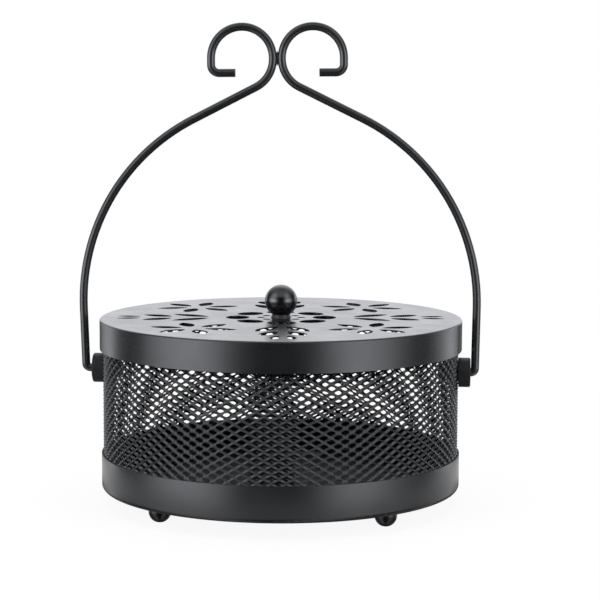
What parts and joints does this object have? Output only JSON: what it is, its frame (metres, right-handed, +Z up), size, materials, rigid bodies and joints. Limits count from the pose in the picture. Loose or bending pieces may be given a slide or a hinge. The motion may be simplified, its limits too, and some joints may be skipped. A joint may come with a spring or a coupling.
{
  "type": "mosquito coil holder",
  "caption": "Round lidded holder that burns a mosquito coil behind an expanded-metal wall and hangs or is carried by a wire bow.",
  "frame": {"origin": "on the floor, under the middle of the round body", "axes": "+Z up, +X along the bow's pivot line towards the right-hand bush, -Y towards the side with the wall's lap, which faces the viewer"},
  "size_m": [0.1669, 0.15, 0.1983],
  "materials": {
    "pan_enamel": "satin black enamel on pressed steel sheet",
    "foot_enamel": "gloss black enamel on steel balls",
    "dark_steel": "blackened steel, hidden fixings",
    "mesh_enamel": "satin black enamel on expanded steel sheet",
    "lid_enamel": "satin black enamel on pressed steel sheet",
    "knob_enamel": "gloss black enamel on a steel ball",
    "bush_enamel": "matt black enamel on turned steel",
    "wire_enamel": "satin black enamel on bent steel wire"
  },
  "bodies": {
    "body": {"base_pan": "pan_enamel", "foot_1": "foot_enamel", "foot_2": "foot_enamel", "foot_3": "foot_enamel", "foot_4": "foot_enamel", "foot_screws": "dark_steel", "mesh_wall": "mesh_enamel", "mesh_seam": "mesh_enamel", "top_hoop": "lid_enamel", "pivot_bush_right": "bush_enamel", "pivot_bush_left": "bush_enamel", "backing_plate_right": "dark_steel", "backing_plate_left": "dark_steel", "bush_nut_right": "dark_steel", "bush_nut_left": "dark_steel", "stand_post": "pan_enamel", "stand_star": "pan_enamel", "coil_spike": "pan_enamel", "stand_screw": "dark_steel"},
    "lid": {"lid_cap": "lid_enamel", "knob_ball": "knob_enamel", "knob_collar": "knob_enamel", "knob_washer": "dark_steel", "knob_screw": "dark_steel"},
    "bow": {"bow_wire_right": "wire_enamel", "bow_wire_left": "wire_enamel", "scroll_weld": "wire_enamel", "push_nut_right": "dark_steel", "push_nut_left": "dark_steel"}
  },
  "joints": [
    {"name": "bow_swing", "type": "hinge", "parent": "body", "child": "bow", "pos_m": [0, 0, 0.05485], "axis": [1, 0, 0], "range_deg": [-110, 110]},
    {"name": "lid_lift", "type": "slide", "parent": "body", "child": "lid", "axis": [0, 0, 1], "range_m": [0, 0.028]}
  ]
}
